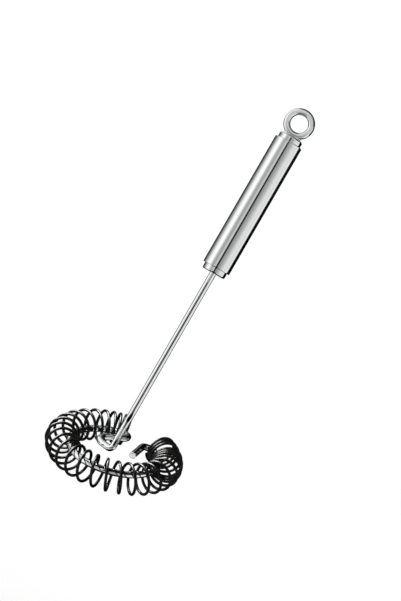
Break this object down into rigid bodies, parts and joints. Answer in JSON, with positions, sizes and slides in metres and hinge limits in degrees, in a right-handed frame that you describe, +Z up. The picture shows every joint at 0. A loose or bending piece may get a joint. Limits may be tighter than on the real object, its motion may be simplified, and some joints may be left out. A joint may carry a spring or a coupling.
{
  "type": "spiral whisk",
  "caption": "Hand whisk with a coated coil threaded on a tilted, open ring of wire, below a round hollow handle with a hanging ring.",
  "frame": {"origin": "centre of the hanging ring's hole", "axes": "+Z up along the handle's axis, with the whisk hanging below its ring; the ring's hole is looked through along Y; the coil's ring tilts down towards the back and the right"},
  "size_m": [0.0864, 0.0838, 0.267],
  "materials": {
    "brushed_tube": "satin, finely brushed round the tube",
    "polished_plugs": "turned and lightly polished",
    "polished_ring": "tumble polished round bar",
    "polished_wire": "bright drawn wire",
    "black_coating": "satin black silicone over spring wire"
  },
  "bodies": {
    "whisk": {"handle_tube": "brushed_tube", "top_plug": "polished_plugs", "bottom_plug": "polished_plugs", "hanging_ring": "polished_ring", "frame_wire": "polished_wire"},
    "coil": {"whisk_coil": "black_coating"}
  },
  "joints": [
    {"name": "coil_slip", "type": "hinge", "parent": "whisk", "child": "coil", "pos_m": [0.002, 0, -0.2331], "axis": [-0.2148, -0.3547, 0.91], "range_deg": [-2, 2]}
  ]
}
